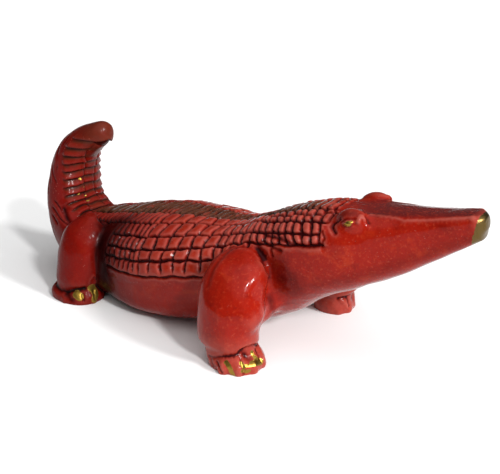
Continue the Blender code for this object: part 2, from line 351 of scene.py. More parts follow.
def spreadOut(values, links, rounds, share=1.0):
    # each value drifts to the mean of its neighbours
    here, there = links
    count = np.maximum(np.bincount(here, minlength=len(values)), 1)
    flat = values.reshape(len(values), -1)
    for _ in range(rounds):
        sums = [np.bincount(here, column[there], len(values)) for column in flat.T]
        flat = flat + (np.stack(sums, 1) / count[:, None] - flat) * share
    return flat.reshape(values.shape)


def applyModifiers(piece):
    graph = bpy.context.evaluated_depsgraph_get()
    mesh = bpy.data.meshes.new_from_object(piece.evaluated_get(graph))
    piece.modifiers.clear()
    old = piece.data
    piece.data = mesh
    bpy.data.meshes.remove(old)


def soften(piece):
    # fillets in the sharp hollows where parts meet: under the jaw, round the webs, a trace elsewhere
    mesh = piece.data
    points, normals, links = readPoints(mesh), normalsOf(mesh), neighbours(mesh)
    hollow = ((spreadOut(points, links, 5) - points) * normals).sum(1)
    where = np.clip(spreadOut(ramp(hollow, *skin["hollow"]), links, 14) * 3, 0, 1)
    least = skin["behindJaw"]
    where *= least + (1 - least) * ramp(points[:, 0], *skin["jawFrom"])
    for side in (1, -1):
        middle = np.array(webs["middle"]) * (1, side, 1) + np.array(body["shift"])
        shift = skin["webShift"] * np.array((1, side, 0))
        gap = np.linalg.norm(points - middle - shift, axis=1)
        where = np.maximum(where, 1 - ramp(gap, *skin["webReach"]))
    where *= 1 - skin["soleCalm"] * ramp(-points[:, 2], -7, -4)
    moved = spreadOut(points, links, skin["softening"], where[:, None])
    moved[:, 2] = np.where(points[:, 2] < 0.3, points[:, 2], moved[:, 2])
    writePoints(mesh, moved)


def meshFrom(bm, name):
    mesh = bpy.data.meshes.new(name)
    bm.to_mesh(mesh)
    bm.free()
    return mesh


def addObject(name, data):
    made = bpy.data.objects.new(name, data)
    bpy.context.scene.collection.objects.link(made)
    return made


def castSkin():
    parts = [wrapBody(), *makeBrows(), *makeWebs()]
    for foot in ("frontRight", "frontLeft", "hindRight", "hindLeft"):
        parts += [wrapLeg(legs[foot]), *makeToes(foot)]
    whole = bmesh.new()
    for part in parts:
        bmesh.ops.recalc_face_normals(part, faces=part.faces)
        mesh = meshFrom(part, "part")
        whole.from_mesh(mesh)
        bpy.data.meshes.remove(mesh)
    piece = addObject("crocodileSkin", meshFrom(whole, "crocodileSkin"))
    remesh = piece.modifiers.new("remesh", "REMESH")
    remesh.mode = "VOXEL"
    remesh.voxel_size = skin["voxel"] * mm
    remesh.use_smooth_shade = True
    smooth = piece.modifiers.new("smooth", "SMOOTH")
    smooth.factor = 0.5
    smooth.iterations = skin["smoothing"]
    applyModifiers(piece)
    soften(piece)
    print("skin cast:", len(piece.data.vertices), "points")
    return piece


# Where each point of the skin lies on the body

def treeOf(points):
    tree = kdtree.KDTree(len(points))
    for k, spot in enumerate(points):
        tree.insert(spot, k)
    tree.balance()
    return tree


def surveySkin(points):
    # section t, angle and distance off the body's own surface for every point
    ts, angles = np.linspace(0, lastSection, 640), np.arange(-180, 180, 3.0)
    gridT, gridA = (g.ravel() for g in np.meshgrid(ts, angles, indexing="ij"))
    spots = bodyPoints(gridT, gridA)
    tree = treeOf(spots)
    nearest = np.array([tree.find(p)[1] for p in points])
    t = gridT[nearest]
    for _ in range(3):
        _, middle, ahead, _, _ = bodyFrames(t)
        step = bodyFrames(t + 0.02)[1] - bodyFrames(t - 0.02)[1]
        pace = np.maximum((step * ahead).sum(1) / 0.04, 1.0)
        gap = ((points - middle) * ahead).sum(1) / pace
        t = np.clip(t + np.clip(gap, -0.15, 0.15), 0, lastSection)
    rows, middle, _, left, up = bodyFrames(t)
    side = ((points - middle) * left).sum(1)
    rise = ((points - middle) * up).sum(1)
    height = np.where(rise > 0, rows[:, 5], rows[:, 6])
    power = np.where(rise > 0, rows[:, 7], rows[:, 8]) / 2
    angle = np.degrees(np.arctan2(
        squared(side / rows[:, 4], power), squared(rise / height, power)
    ))
    off = np.linalg.norm(points - bodyPoints(t, angle), axis=1)
    return t, angle, np.where(t >= lastSection - 0.01, 0, off)


# Carved scales

scales = {
    "rise": 0.8,  # mm from the skin to a plate's top
    "cut": 0.40,  # mm that a groove's bed lies under the skin
    "bed": (0.20, 0.85),  # mm from a groove's middle to the foot and to the top of its walls
    "saw": 1.25,  # mm that each bar of the tail stands over the next
    "firstRow": 7.4,  # mm along the body from the tip of the tail
    # rows from the tail to the brow: how many, pitch in mm, columns on each flank
    "rows": [
        (18, 4.73, 1),
        (7, 2.90, 5),
        (6, 5.50, 5),
        (4, 3.85, 5),
        (9, 3.20, 3),
        (4, 3.20, 1),
    ],
    # section, angle of the middle line, then the angles from it of lines 1 to 6
    "lines": [
        (0.0, 4, 60, 130, 140, 150, 160, 170),
        (2.3, 4, 42, 125, 134, 143, 152, 161),
        (2.9, 4, 20, 101, 112, 123, 134, 145),
        (3.5, 4, 14, 77, 90, 103, 116, 129),
        (4.2, 4, 11, 66, 80, 93, 106, 120),
        (5.0, 4, 12, 56, 74, 90, 104, 118),
        (6.0, 3, 12, 32, 50, 66, 82, 98),
        (8.0, 2, 14, 32, 50, 65, 77, 89),
        (9.0, 4, 14, 31, 50, 66, 78, 92),
        (10.0, 6, 9, 22, 42, 60, 74, 92),
        (11.0, 7, 7, 18, 37, 54, 74, 94),
        (12.0, 5, 8, 21, 40, 56, 78, 96),
        (13.0, 2, 11, 33, 51, 67, 84, 100),
        (14.0, 0, 12, 40, 62, 78, 92, 108),
        (15.0, 0, 14, 40, 58, 76, 94, 110),
        (19.0, 0, 18, 42, 60, 76, 94, 112),
    ],
    "wander": 0.55,  # mm that the carver's lines stray
    "tailRows": 18,
    "corners": ((12, 13), (0.7, 1.3)),  # sections, and mm radius of a plate's corners there
    # the tail's topmost bars: mm along the body at a height in mm, and mm along for each mm down
    "level": (31.6, 40.4, 1.31),
    "faint": 0.45,  # mm that line 1 closes up by behind the shoulders
    "ragged": 0.18,  # mm that a groove's edge strays
    "ridge": 0.3,  # mm more of groove in the middle band's broad cuts
    "dome": 0.30,  # mm that a plate swells
    "luck": 0.3,  # share of the rise by which plates differ
    "tilt": 0.22,  # mm from a plate's back to its front, by chance
    "lean": 0.12,  # mm across it, by chance
    "extraHalf": 0.42,  # half width in mm of the cuts that part a plate
    "extraDepth": (1.2, 0.9),  # mm deep in the middle band, and elsewhere
    "leafPitch": 3.3,  # mm between the strokes on the tail's flanks
    "leafHalf": 0.42,  # mm
    "leafDepth": 0.55,  # mm
    "napeEnds": (13.75, 14.25),  # sections over which the nape's plates die away
}


def lineAngles(t):
    rows = np.array(scales["lines"], float)
    return [np.interp(t, rows[:, 0], rows[:, k]) for k in range(1, 8)]


def measureGirth():
    # mm round each section from the top, on a grid of sections and angles
    ts, angles = np.linspace(0, lastSection, 381), np.linspace(-180, 180, 361)
    gridT, gridA = np.meshgrid(ts, angles, indexing="ij")
    spots = bodyPoints(gridT.ravel(), gridA.ravel()).reshape(len(ts), len(angles), 3)
    steps = np.linalg.norm(np.diff(spots, axis=1), axis=2)
    girth = np.concatenate([np.zeros((len(ts), 1)), np.cumsum(steps, axis=1)], axis=1)
    girth -= girth[:, 180:181]
    middles = bodyFrames(ts)[1]
    along = np.concatenate([[0], np.cumsum(np.linalg.norm(np.diff(middles, axis=0), axis=1))])
    return ts, along, girth


def girthAt(girth, t, angle):
    row = np.clip(t / lastSection * (girth.shape[0] - 1), 0, girth.shape[0] - 1.001)
    column = np.clip(angle + 180, 0, girth.shape[1] - 1.001)
    i, j = row.astype(int), column.astype(int)
    f, g = row - i, column - j
    return (
        girth[i, j] * (1 - f) * (1 - g) + girth[i + 1, j] * f * (1 - g)
        + girth[i, j + 1] * (1 - f) * g + girth[i + 1, j + 1] * f * g
    )


def rowMarks():
    marks, columns = [scales["firstRow"]], []
    for count, pitch, flank in scales["rows"]:
        for _ in range(count):
            marks.append(marks[-1] + pitch)
            columns.append(flank)
    return np.array(marks), np.array(columns)


def carveScales(points, t, angle):
    # where each point of the skin lies on the carver's grid: its plate, and mm to the plate's edges
    ts, along, girth = measureGirth()
    marks, columns = rowMarks()
    stray = scales["wander"]
    travel = np.interp(t, ts, along) + stray * wave(points, 9, 3)
    middle, *spread = lineAngles(t)
    turn = np.where(angle - middle > 180, angle - 360, angle)
    right = turn < middle
    # the tail's topmost bars lie level, the rest square to the tail
    start, height, slope = scales["level"]
    level = start + (height - points[:, 2]) * slope
    travel += (level - travel) * (1 - ramp(t, 3.3, 4.3))
    # they arch: their ends hang towards the body
    tail = 1 - ramp(t, 6.3, 7.2)
    hang = np.clip((np.abs(turn - middle) - 12) / 48, 0, 1) ** 2
    travel -= tail * hang * np.interp(t, [2, 5, 6.3], [0.7, 1.5, 2.8])
    travel -= tail * 0.7 * np.clip((turn - middle) / 12, -1, 1)
    here = girthAt(girth, t, turn) + 0.7 * stray * wave(points, 7, 5)
    lines = [
        np.abs(girthAt(girth, t, np.where(right, middle - s, middle + s))) for s in spread
    ]
    reach = np.where(right, -here, here)
    column = sum((reach > line).astype(int) for line in lines)
    row = np.searchsorted(marks, travel) - 1
    inRows = (row >= 0) & (row < len(columns))
    safe = np.clip(row, 0, len(columns) - 1)
    wide = np.zeros((len(columns) + 2, 9), bool)
    for i, flank in enumerate(columns):
        wide[i + 1, 1 : flank + 2] = True  # column 0 is the middle one
    wide[1:-1, 0] = True
    row = np.where(t < 1.7, -1, row)
    cell, side = np.clip(row + 1, 0, len(columns) + 1), column + 1
    carved = wide[cell, side]
    far = 99.0
    back = np.where(carved | wide[np.maximum(cell - 1, 0), side],
                    travel - marks[np.clip(row, 0, len(marks) - 1)], far)
    front = np.where(carved | wide[np.minimum(cell + 1, len(columns) + 1), side],
                     marks[np.clip(row + 1, 0, len(marks) - 1)] - travel, far)
    back = np.where(row < 0, far, back)
    front = np.where(row >= len(columns), far, front)
    stack = np.stack(lines)
    pick = np.arange(len(points))
    inner = np.where((column > 0) & (carved | wide[cell, np.maximum(side - 1, 0)]),
                     reach - stack[np.clip(column - 1, 0, 5), pick], far)
    outer = np.where((column < 6) & (carved | wide[cell, np.minimum(side + 1, 8)]),
                     stack[np.clip(column, 0, 5), pick] - reach, far)
    # line 1 is only a soft border behind the shoulders
    faint = scales["faint"] * ramp(t, 6.8, 7.6) * (1 - ramp(t, 11.6, 12.4))
    inner = np.where(column == 1, inner + faint, inner)
    outer = np.where(column == 0, outer + faint, outer)
    # the lowest row's cuts fade before the ledge
    across = (inner - outer) / np.maximum(inner + outer, 0.01)
    fading = (column == 5) * ramp(across, -0.1, 0.9) * (t < 11.5)
    back, front = back + fading, front + fading
    plate = safe * 16 + column * 2 + right
    ends, sides = np.minimum(back, front), np.minimum(inner, outer)
    curve = np.interp(t, *scales["corners"])
    deepIn = np.hypot(np.maximum(curve - ends, 0), np.maximum(curve - sides, 0))
    edge = np.where((ends < curve) & (sides < curve), curve - deepIn, np.minimum(ends, sides))
    return {
        "edge": np.maximum(edge, 0), "inner": inner, "sides": np.maximum(sides, 0),
        "carved": carved & inRows, "plate": plate, "row": row, "column": column,
        "share": back / np.maximum(back + front, 0.01), "pitch": back + front,
        "across": across, "travel": travel, "reach": reach,
    }


# Strokes: grooves, ridges and gold laid along lines on the skin

strokes = {
    # name: half width in mm, depth in mm (negative for a ridge), darkness, then places on both
    # flanks as section, mm out to the side and mm above the section's middle
    "eyeCrescent": (0.8, 0.9, 1.0, [
        (14.25, 12.6, 12.8), (14.08, 12.4, 11.6), (14.06, 13.4, 10.4), (14.12, 14.6, 8.6)
    ]),
    "eyeball": (1.15, -0.85, 0.0, [(14.44, 13.7, 10.8), (14.50, 13.5, 10.8)]),
    "lidFold": (0.5, 0.35, 0.7, [(14.27, 13.5, 11.7), (14.42, 13.3, 12.4), (14.60, 12.7, 11.7)]),
    "eyeUnder": (0.45, 0.25, 0.5, [(14.30, 14.0, 10.4), (14.46, 13.8, 9.7), (14.60, 13.2, 10.3)]),
    "browShade": (2.2, 0.0, 0.55, [(14.2, 12.4, 13.4), (14.4, 11.8, 14.0), (14.6, 11.4, 13.4)]),
    "browBump": (0.9, -0.5, 0.0, [(14.68, 12.6, 10.8), (14.72, 11.4, 12.0), (14.77, 11.2, 11.0)]),
    "browGap": (0.7, 0.5, 0.6, [(14.84, 10.4, 11.2), (14.84, 10.9, 9.2)]),
    "snoutEdge": (1.1, -0.45, 0.0, [
        (14.85, 7.6, 10.9), (15.3, 7.4, 8.4), (15.57, 7.9, 6.9), (15.94, 6.9, 5.8),
        (16.4, 6.1, 4.9), (17.0, 5.2, 3.9), (17.7, 4.4, 3.2),
    ]),
    "cheekBorder": (0.95, 0.9, 1.0, [
        (12.48, 15.3, 13.4), (12.68, 16.2, 12.6), (12.89, 17.1, 11.3), (13.03, 17.7, 9.9),
        (13.14, 17.8, 8.5), (13.38, 17.6, 7.1), (13.64, 17.3, 6.0), (13.80, 17.1, 5.6),
    ]),
    "cheekEnd": (0.5, 0.5, 0.7, [(13.80, 17.1, 5.6), (13.90, 16.6, 8.2), (13.86, 15.6, 10.8)]),
    "shoulderFold": (1.4, 0.9, 0.9, [
        (12.27, 17.4, 9.6), (12.36, 19.0, 7.3), (12.47, 21.3, 5.1), (12.52, 22.0, 2.3)
    ]),
    "notch": (0.7, 0.7, 1.0, [(12.39, 16.6, 12.2), (12.55, 17.3, 10.0), (12.83, 18.3, 7.2)]),
    "notchDown": (0.6, 0.6, 0.9, [(12.61, 17.9, 8.5), (12.61, 18.9, 5.8)]),
    "webPit": (1.9, 0.5, 0.75, [(12.04, 19.3, -7.7), (11.98, 18.6, -10.6), (11.87, 17.3, -13.0)]),
    "chestShade": (6.5, 0.0, 0.75, [(12.65, 19.8, 2.0), (12.75, 19.0, -6.0)]),
    "jawShade": (3.2, 0.0, 0.3, [
        (13.3, 17.5, -8.5), (14.5, 12.5, -9.0), (16.0, 8.0, -6.5), (17.2, 6.0, -4.5)
    ]),
    "tipFill": (3.4, -0.7, 0.0, [(1.6, 1.5, 4.0), (2.2, 2.0, 5.5), (2.8, 2.0, 6.5)]),
    "tailFold": (1.2, 1.0, 1.0, [
        (5.01, 12.1, 4.9), (5.4, 13.2, 5.2), (6.0, 15.0, 6.4), (6.6, 16.0, 9.0),
        (7.25, 16.0, 15.2), (7.45, 13.1, 14.0),
    ]),
}

footStrokes = {
    # the same, with places as mm ahead of, outside and above the middle of the foot
    "front": {
        "armEdge": (1.1, 0.3, 0.25, [
            (-8.8, 4.9, 30.6), (-9.3, 2.5, 33.5), (-9.6, -0.7, 36.3), (-9.8, -5.0, 38.2),
            (-10.0, -10.4, 39.4), (-7.3, -12.3, 40.4), (-4.1, -13.6, 40.4),
        ]),
        "elbow": (4.6, -2.0, 0.0, [(8.0, -2.8, 20.5), (7.8, 1.0, 19.5)]),
        "armHollow": (4.0, 0.8, 0.0, [(7.0, -4.5, 31.0), (6.5, -1.5, 29.5)]),
        "ankle": (0.75, 0.65, 0.4, [
            (-6.0, 8.0, 4.1), (-2.8, 9.0, 5.0), (0.6, 8.6, 6.3), (3.2, 7.6, 6.9),
            (5.4, 5.8, 7.4), (5.8, 5.0, 8.6), (7.0, 3.0, 9.6), (7.4, -0.6, 9.2), (6.0, -5.4, 7.4),
        ]),
        "toeOne": (0.55, 0.65, 0.5, [(-1.6, 9.2, 3.6), (0.4, 10.2, 2.8), (1.8, 10.4, 0.5)]),
        "toeTwo": (0.5, 0.45, 0.5, [(-4.8, 8.6, 3.4), (-3.8, 8.7, 1.4)]),
        "toeThree": (0.5, 0.5, 0.5, [(6.4, 5.4, 5.6), (7.8, 5.9, 3.2), (8.2, 6.2, 0.6)]),
        "hollow": (1.9, 0.9, 0.4, [(6.4, 4.0, 8.0), (8.0, 2.6, 5.4)]),
        "toeFour": (0.5, 0.5, 0.55, [(7.0, -2.1, 7.0), (8.6, -2.0, 5.2), (9.8, -1.8, 3.0)]),
        "outerRidge": (0.8, -0.5, 0.0, [(6.4, -4.8, 6.6), (8.4, -4.0, 5.0), (10.1, -3.2, 3.2)]),
    },
    "hind": {
        # a painted shade in the gap between the thigh and the body
        "gap": (4.6, 0.3, 1.0, [
            (5.6, -8.5, 29.7), (10.8, -3.2, 26.3), (14.6, 0.4, 22.2), (16.2, 1.6, 16.9),
            (16.4, 1.6, 11.0), (16.0, 0.6, 5.0),
        ]),
        "ankle": (1.0, 1.0, 1.0, [
            (-7.6, 4.6, 4.6), (-6.2, 6.2, 4.9), (-2.1, 8.0, 4.4), (2.2, 7.9, 4.8),
            (5.2, 6.9, 6.0), (8.2, 4.2, 6.6),
        ]),
        "hollow": (1.5, 0.8, 1.0, [(1.8, 8.4, 4.0), (4.6, 8.4, 2.2)]),
        "toeOne": (0.6, 0.7, 1.0, [(8.4, 5.6, 4.6), (9.0, 5.8, 2.0)]),
        "knee": (4.5, -1.1, 0.0, [(9.0, 0.8, 13.0), (9.2, -0.5, 12.0)]),
        "knuckle": (0.55, -0.4, 0.0, [
            (7.6, 2.2, 9.4), (7.4, 1.8, 11.0), (9.0, 1.2, 12.4), (10.4, 0.0, 11.6),
            (10.6, -0.6, 9.6), (9.6, 0.8, 8.4),
        ]),
        "toeTwo": (0.5, 0.5, 0.7, [(11.0, 1.0, 5.4), (11.6, 1.6, 2.0)]),
    },
}

feet = {
    # middle in mm, side, kind and size against the foot that the strokes were drawn for
    "frontRight": (22.65, -30.85, -1, "front", 1.0),
    "frontLeft": (23.45, 30.65, 1, "front", 0.78),
    "hindRight": (-64.65, -24.15, -1, "hind", 1.0),
    "hindLeft": (-66.35, 24.65, 1, "hind", 0.98),
}

gilding = {
    # gold brush strokes: half width in mm, then places as for the strokes above
    "front": [
        (0.9, [(2.5, 8.7, 4.8), (4.1, 8.7, 3.0), (5.3, 8.2, 0.6)]),
        (0.7, [(7.0, 5.9, 5.0), (7.9, 6.0, 3.9), (9.3, 4.1, 3.6)]),
        (1.3, [(9.6, 2.4, 4.0), (10.0, 0.0, 3.6), (10.0, -1.6, 3.3)]),
        (0.8, [(8.3, 6.4, 2.1), (9.5, 4.4, 1.7)]),
        (0.7, [(7.5, 0.3, 6.8), (8.6, 0.0, 5.7), (9.5, -0.1, 4.5)]),
    ],
    "hind": [
        (1.7, [(6.2, 6.9, 4.4), (7.4, 6.6, 3.4)]),
        (1.6, [(9.2, 1.6, 6.6), (10.3, 0.6, 4.2), (11.2, 1.8, 1.8)]),
    ],
    # on the body, both flanks
    "body": [
        (0.85, [(14.44, 13.7, 10.7), (14.49, 13.5, 10.7)]),
        (0.45, [(14.38, 13.8, 10.7), (14.47, 13.6, 10.8), (14.55, 13.3, 10.9)]),
    ],
    # on the right flank of the body alone, where the brush slipped
    "slips": [
        (0.36, [(3.84, 4.7, 7.9), (3.85, 4.0, 8.2)]),
        (0.24, [(4.22, 3.8, 8.6), (4.27, 1.9, 9.0)]),
        (0.30, [(4.53, 6.3, 7.3), (4.48, 4.6, 7.7)]),
        (0.24, [(4.65, 3.6, 8.8), (4.70, 1.6, 9.1)]),
        (0.24, [(5.03, 2.6, 8.6), (5.08, 0.4, 9.2)]),
        (0.18, [(8.60, 28.5, -4.3), (8.56, 27.6, -7.5)]),
    ],
}


def onFlank(places, side):
    # places given as section, mm out and mm up, on the side of the body asked for
    knots = np.array(places, float)
    _, middle, _, left, up = bodyFrames(knots[:, 0])
    return middle + knots[:, 1:2] * side * left + knots[:, 2:] * up


def onFoot(places, foot):
    x, y, side, _, size = feet[foot]
    ahead, out, height = np.array(places, float).T
    return np.stack([x + ahead * size, y + out * side * size, height], 1)


def lineGaps(points, tree, knots, reach):
    # mm from every point of the skin to a line through the knots, pressed on to the skin
    samples = []
    for start, end in zip(knots, knots[1:]):
        count = max(int(np.linalg.norm(end - start) / 0.3), 1)
        samples += [start + (end - start) * k / count for k in range(count)]
    samples.append(knots[-1])
    pressed = np.array([points[tree.find(spot)[1]] for spot in samples])
    if len(pressed) > 4:
        middle = (pressed[:-2] + 2 * pressed[1:-1] + pressed[2:]) / 4
        pressed = np.concatenate([pressed[:1], middle, pressed[-1:]])
    low, high = pressed.min(0) - reach, pressed.max(0) + reach
    near = np.where(((points > low) & (points < high)).all(1))[0]
    line = treeOf(pressed)
    gaps = np.full(len(points), 99.0)
    gaps[near] = [line.find(points[k])[2] for k in near]
    return gaps


def allStrokes():
    # every stroke on every limb as half width, depth, darkness and its line in mm
    for width, deep, dark, places in strokes.values():
        for side in (-1, 1):
            yield width, deep, dark, onFlank(places, side)
    for foot in feet:
        for name, (width, deep, dark, places) in footStrokes[feet[foot][3]].items():
            if (foot, name) != ("hindLeft", "gap"):  # the hidden side stays plainer
                yield width, deep, dark, onFoot(places, foot)


def allGilding():
    for width, places in gilding["body"]:
        for side in (-1, 1):
            yield width, onFlank(places, side)
    for width, places in gilding["slips"]:
        yield width, onFlank(places, -1)
    for foot in ("frontRight", "hindRight", "hindLeft"):
        for width, places in gilding[feet[foot][3]]:
            yield width, onFoot(places, foot)


def saveField(mesh, name, values):
    field = mesh.attributes.get(name) or mesh.attributes.new(name, "FLOAT", "POINT")
    field.data.foreach_set("value", np.clip(values, 0, 1).astype(np.float32))


def raiseScales(points, t, angle):
    # the grid with the carving's height over the skin, its grooves, rims and shade
    grid = carveScales(points, t, angle)
    edge, share, column = grid["edge"], grid["share"], grid["column"]
    carved, row = grid["carved"], grid["row"]
    rng = random.Random(7)
    chance = np.array([rng.random() for _ in range(4096)])
    luck, tilt, lean = (chance[(grid["plate"] + k) % 4096] - 0.5 for k in (0, 900, 1900))
    ridge = (column == 0) & (t > 6.5) & (t < 12.4)  # the broad cuts of the middle band
    ragged = edge + scales["ragged"] * wave(points, 3.0, 11) - scales["ridge"] * ridge
    ragged = np.maximum(ragged, 0)
    top = ramp(ragged, *scales["bed"])
    dome = scales["dome"] * (1 - np.exp(-ragged / 1.4))
    shape = scales["rise"] * (0.92 + scales["luck"] * luck) + dome
    shape += scales["tilt"] * tilt * (share - 0.5) + scales["lean"] * lean * grid["across"]
    lift = (shape + scales["cut"]) * top - scales["cut"]
    # outside the grid its border is a groove with a low bank
    loose = 0.8 * scales["rise"] * ramp(edge, 0.25, 0.8) * bell(edge, 2.0)
    loose -= 0.3 * (1 - ramp(edge, 0.1, 0.7))
    loose = np.where((column >= 2) & (t < 6.2), 0, loose)
    lift = np.where(carved, lift, loose)
    # extra cuts across the middle band and over the base of the tail, and along the nape's top
    halfway = np.abs(share - 0.5 - 0.15 * tilt) * grid["pitch"]
    band = carved & (column == 0) & (grid["pitch"] > 3) & (row >= scales["tailRows"]) & (t < 12.2)
    fan = carved & (column == 1) & (row > 9) & (row < scales["tailRows"])
    half = scales["extraHalf"]
    extra = bell(halfway, half) * (band | fan)
    nape = carved & (t > 12.3) & (column <= 1)
    split = np.abs(grid["across"] + 0.5 * tilt) * np.where(column == 0, 3.2, 2.4)
    extra = np.maximum(extra, bell(split, half) * nape)
    lift -= np.where(band, *scales["extraDepth"]) * extra
    # the tail's bars overlap like shingles, each lip over the next bar down
    onTail = carved & (row < scales["tailRows"])
    saw = ramp(share, 0.0, 0.95) ** 0.8 * (1 - ramp(share, 0.87, 0.98))
    flank = np.where(column == 0, ramp(grid["sides"], 0.15, 0.7), ramp(grid["inner"], 0.1, 0.6))
    taper = np.where(column == 1, ramp(grid["sides"], 0.0, 2.2), 1.0)
    taper = np.where(grid["inner"] < 1.5, 1.0, taper)
    entry = ramp(t, 1.8, 2.6) * np.where(column == 0, ramp(t, 2.5, 3.3), 1)
    saw = saw * taper * entry * np.where(column == 0, 0.6, 1)
    saw = saw * (1 - 0.6 * bell(angle - 40, 22))  # smooth against the sky
    shingle = scales["saw"] * saw * (0.65 + 0.35 * flank) - 0.15 * (1 - flank)
    fade = 1 - ramp(t, 5.6, 6.9)
    lift = np.where(onTail, shingle * fade + lift * (1 - fade) * 0.9, lift)
    # leaf-shaped strokes down the flanks of the tail
    leafy = (t > 2.2) & (t < 6.6) & (column >= 2) & ~carved
    slant = grid["reach"] + 0.30 * grid["travel"] + 0.8 * wave(points, 11, 21)
    leaf = np.abs((slant / scales["leafPitch"]) % 1 - 0.5) * scales["leafPitch"]
    length = ramp(wave(points, 9, 23) + 0.35, 0.0, 0.5)
    leaf = bell(leaf, scales["leafHalf"]) * ramp(grid["sides"], 2.0, 3.2)
    leaf *= length * leafy * ramp(t, 2.2, 3.0) * (1 - ramp(t, 5.9, 6.6))
    lift = lift - scales["leafDepth"] * leaf
    # the plates of the nape die away towards the brow
    end = 1 - ramp(t + 0.15 * wave(points, 5, 27), *scales["napeEnds"])
    lift = lift * end
    # how deep in a groove each point lies, which the glaze pools in, and on the tail's bars a
    # painted shadow under each lip
    groove = np.where(carved, 1 - ramp(ragged, 0.22, 0.75), 0.7 * (1 - ramp(edge, 0.10, 0.5)))
    # a painted shadow at and under each lip of the tail's bars
    lipShadow = ramp(share, 0.93, 0.98) + (1 - ramp(share, 0.0, 0.42))
    onBars = np.maximum(np.clip(lipShadow, 0, 1) * 0.75 * taper, (1 - flank) * 0.2)
    onBars *= entry
    groove = np.where(onTail, onBars * fade + groove * (1 - fade), groove)
    groove = np.where((column >= 2) & (t < 6.6) & ~carved, 0, groove)
    groove = np.maximum(groove, np.maximum(leaf * 0.7, extra * np.where(band, 1, 0.8))) * end
    ledge = (t > 6.5) & ((column == 6) | ((column == 5) & (grid["across"] > 0.6)))
    groove = np.where(ledge, 0.5 * groove, groove)
    # the plates' rims, which the glaze thins on; on the tail a painted sheen along each bar's lip,
    # and the painted shade under each bar
    rim = ramp(ragged, 0.45, 0.75) * (1 - ramp(ragged, 0.9, 1.7)) * carved * end
    # on the tail, a painted sheen along each bar's lip
    rim = np.where(onTail, ramp(share, 0.55, 0.84) * (1 - ramp(share, 0.88, 0.95)), rim)
    shade = onTail * fade * (1 - ramp(share, 0.1, 0.6)) * taper
    grid.update(lift=lift, groove=groove, rim=rim, shade=shade, luck=luck + 0.5)
    return grid


pools = {
    "near": (5, 0.01, 0.14),  # rounds of smoothing, and mm below it from which glaze pools
    "far": (55, 0.1, 0.9),
    "share": (0.5, 0.8),  # weights of the near and the far hollows
    "nearRim": (0.01, 0.12),  # mm above the smoothed skin on which the glaze thins
    "farRim": (0.2, 1.1),
    "rimShare": (0.75, 0.3),
    "feet": ((8, 17), 0.55),  # mm of height over which the forelegs' thin glaze ends; share
    "hips": (-49, 11, 0.85, 0.5),  # painted shade on the hips: mm along, reach in mm, darkness, share of it on the left
    "tailFlank": 0.75,  # share of the plum-coloured painted shade on the tail's flanks
    "tip": (1.4, 3.0, 0.55),  # sections over which the tip's bronze ends; share
    "barShade": 0.8,  # share of the bronze-coloured painted shade under the tail's bars
    # the snout's gold: direction of its edge's plane, mm to it from zero, mm of blend
    "snoutGold": ((0.99, 0.139, -0.2), 84.1, 3),
}

clay = {
    "swell": (0.16, 14, 31),  # mm of unevenness, its size in mm and its seed
    "dents": (0.05, 5, 33),
    "calm": (14.2, 15.2, 0.6),  # sections over which the snout becomes smoother; by how much
    "sole": (-1.2, -0.2, 0.2),  # minus the heights in mm of full and least carving; least share
}


def layStrokes(points):
    # depth, darkness and gold of all the strokes at each point
    tree = treeOf(points)
    depth, dark, gild = (np.zeros(len(points)) for _ in range(3))
    for width, deep, darkness, line in allStrokes():
        gap = (lineGaps(points, tree, line, width * 3) / width) ** 2
        depth += deep * np.exp(-gap)
        dark = np.maximum(dark, darkness * np.exp(-gap * 1.5))
    for width, line in allGilding():
        gap = lineGaps(points, tree, line, width * 3)
        gild = np.maximum(gild, 1 - gap / (2 * width))
    dark *= 0.85 + 0.15 * wave(points, 4, 41)
    print("strokes laid")
    return depth, dark, gild


def unevenness(points, t, onBody):
    # the hand-pressed surface of all the clay
    low, high, share = clay["calm"]
    calm = 1 - share * ramp(t, low, high) * onBody
    (swell, *wide), (dents, *small) = clay["swell"], clay["dents"]
    return calm * (swell * wave(points, *wide) + dents * wave(points, *small))


def measurePools(points, normals, links, filled):
    # where the glaze runs deep, with the painted shade handed in as filled, and where it thins on
    # the edges
    fine, wide = (
        ((spreadOut(points, links, pools[name][0]) - points) * normals).sum(1)
        for name in ("near", "far")
    )
    near, far = pools["share"]
    poolAndShade = ramp(fine, *pools["near"][1:]) * near + ramp(wide, *pools["far"][1:]) * far
    poolAndShade = np.maximum(poolAndShade, filled)
    near, far = pools["rimShare"]
    thinAndSheen = ramp(-fine, *pools["nearRim"]) * near + ramp(-wide, *pools["farRim"]) * far
    return poolAndShade, thinAndSheen


